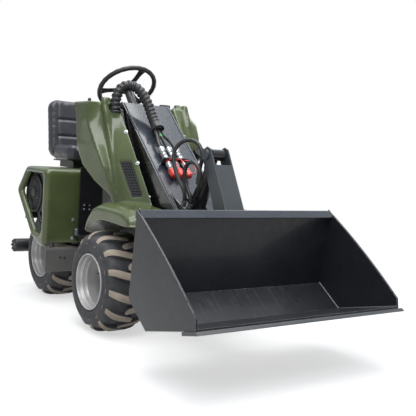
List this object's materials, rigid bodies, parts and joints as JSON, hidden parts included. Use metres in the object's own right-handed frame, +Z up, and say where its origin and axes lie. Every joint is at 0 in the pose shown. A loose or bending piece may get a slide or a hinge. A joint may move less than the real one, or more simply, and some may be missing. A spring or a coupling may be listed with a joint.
{
  "type": "mini wheel loader",
  "caption": "Compact articulated ride-on wheel loader with a front bucket on a lifting boom, tilt linkage, seat over a rear engine and lugged tyres.",
  "frame": {"origin": "centre of the machine's box on the ground under the tyres", "axes": "+Z up, -Y towards the bucket, +X to the machine's left"},
  "size_m": [1.13, 2.3966, 1.4011],
  "materials": {
    "green_shell": "glossy olive green gel coat",
    "anthracite": "satin anthracite paint, worn edges",
    "frame_grey": "satin grey frame paint",
    "black_metal": "satin black paint",
    "tyre": "dusty tyre rubber",
    "rim_silver": "silver wheel paint",
    "steel": "bare steel",
    "chrome": "plated rod",
    "black_plastic": "moulded black plastic",
    "hose": "black hose rubber",
    "red_cap": "red vinyl caps",
    "seat_vinyl": "black seat vinyl",
    "engine_black": "black engine shroud",
    "engine_metal": "cast engine block",
    "galvanised": "galvanised sheet"
  },
  "bodies": {
    "front_frame": {"front_chassis": "frame_grey", "boom_pin": "steel", "steering_pin": "steel", "front_axle": "frame_grey", "body_left": "green_shell", "body_right": "green_shell", "grille_left": "black_plastic", "grille_right": "black_plastic", "filler_cap": "black_plastic", "side_lamp": "black_plastic", "steering_column": "frame_grey", "control_lever": "black_plastic"},
    "rear_frame": {"rear_chassis": "frame_grey", "bulkhead": "black_metal", "foot_plates": "galvanised", "side_skirts": "frame_grey", "engine_cover": "green_shell", "engine_block": "engine_metal", "fan_housing": "engine_black", "muffler": "steel", "seat_base": "black_metal", "seat_cushion": "seat_vinyl", "seat_back": "seat_vinyl", "oil_filter": "black_plastic", "rear_axle": "frame_grey"},
    "boom": {"boom": "anthracite", "boom_gussets": "black_metal", "coupler_bracket": "black_metal", "quick_couplers": "steel", "coupler_caps": "red_cap", "coupler_hoses": "hose", "hose_bundle": "hose", "tilt_hoses": "hose"},
    "bucket": {"bucket_shell": "anthracite", "bucket_side_left": "anthracite", "bucket_side_right": "anthracite", "bucket_edge": "anthracite", "bucket_rail": "anthracite", "hitch_plate": "anthracite", "hitch_pin": "steel", "hitch_upright": "anthracite"},
    "lift_barrel": {"lift_barrel": "black_metal"},
    "lift_rod": {"lift_rod": "chrome"},
    "tilt_barrel": {"tilt_barrel": "black_metal"},
    "tilt_rod": {"tilt_rod": "chrome"},
    "steer_barrel": {"steer_barrel": "black_metal"},
    "steer_rod": {"steer_rod": "chrome"},
    "steering_wheel": {"steering_wheel": "black_plastic"},
    "wheel_front_left": {"rim_front_left": "rim_silver", "tyre_front_left": "tyre"},
    "wheel_front_right": {"rim_front_right": "rim_silver", "tyre_front_right": "tyre"},
    "wheel_rear_left": {"rim_rear_left": "rim_silver", "tyre_rear_left": "tyre"},
    "wheel_rear_right": {"rim_rear_right": "rim_silver", "tyre_rear_right": "tyre"}
  },
  "joints": [
    {"name": "articulation", "type": "hinge", "parent": "front_frame", "child": "rear_frame", "pos_m": [0, 0.38828, 0.34], "axis": [0, 0, 1], "range_deg": [-35, 35]},
    {"name": "boom_lift", "type": "hinge", "parent": "front_frame", "child": "boom", "pos_m": [0, 0.25628, 1.101], "axis": [-1, 0, 0], "range_deg": [-8, 60], "deforming": ["hose_bundle"]},
    {"name": "bucket_tilt", "type": "hinge", "parent": "boom", "child": "bucket", "pos_m": [0, -0.60572, 0.35], "axis": [1, 0, 0], "range_deg": [-4, 50], "deforming": ["tilt_hoses"]},
    {"name": "lift_barrel_swing", "type": "hinge", "parent": "front_frame", "child": "lift_barrel", "pos_m": [0, 0.05828, 0.35], "axis": [1, 0, 0], "range_deg": [-8, 16]},
    {"name": "lift_rod_slide", "type": "slide", "parent": "lift_barrel", "child": "lift_rod", "axis": [0, 0.0327, 0.9995], "range_m": [-0.06, 0.34]},
    {"name": "tilt_barrel_swing", "type": "hinge", "parent": "boom", "child": "tilt_barrel", "pos_m": [0, -0.26672, 0.495], "axis": [1, 0, 0], "range_deg": [-8, 60]},
    {"name": "tilt_rod_slide", "type": "slide", "parent": "tilt_barrel", "child": "tilt_rod", "axis": [0, -0.4153, 0.9097], "range_m": [-0.06, 0.45]},
    {"name": "steer_barrel_swing", "type": "hinge", "parent": "front_frame", "child": "steer_barrel", "pos_m": [0.07, 0.28828, 0.458], "axis": [0, 0, 1], "range_deg": [-26, 26]},
    {"name": "steer_rod_slide", "type": "slide", "parent": "steer_barrel", "child": "steer_rod", "axis": [0, 1, 0], "range_m": [-0.06, 0.06]},
    {"name": "steering_wheel_turn", "type": "hinge", "parent": "front_frame", "child": "steering_wheel", "pos_m": [0, 0.46828, 1.281], "axis": [0, 0.6428, 0.766], "continuous": true},
    {"name": "wheel_front_left_spin", "type": "hinge", "parent": "front_frame", "child": "wheel_front_left", "pos_m": [0.325, -0.06172, 0.254], "axis": [1, 0, 0], "continuous": true},
    {"name": "wheel_front_right_spin", "type": "hinge", "parent": "front_frame", "child": "wheel_front_right", "pos_m": [-0.325, -0.06172, 0.254], "axis": [1, 0, 0], "continuous": true},
    {"name": "wheel_rear_left_spin", "type": "hinge", "parent": "rear_frame", "child": "wheel_rear_left", "pos_m": [0.215, 0.84628, 0.254], "axis": [1, 0, 0], "continuous": true},
    {"name": "wheel_rear_right_spin", "type": "hinge", "parent": "rear_frame", "child": "wheel_rear_right", "pos_m": [-0.215, 0.84628, 0.254], "axis": [1, 0, 0], "continuous": true}
  ],
  "couplings": [
    {"joint": "lift_barrel_swing", "follows": "boom_lift", "ratio": 0.2},
    {"joint": "lift_rod_slide", "follows": "boom_lift", "m_per_rad": 0.27425},
    {"joint": "tilt_barrel_swing", "follows": "bucket_tilt", "ratio": 0.78981},
    {"joint": "tilt_rod_slide", "follows": "bucket_tilt", "m_per_rad": 0.33453},
    {"joint": "steer_barrel_swing", "follows": "articulation", "ratio": 0.59255},
    {"joint": "steer_rod_slide", "follows": "articulation", "m_per_rad": 0.06881}
  ]
}
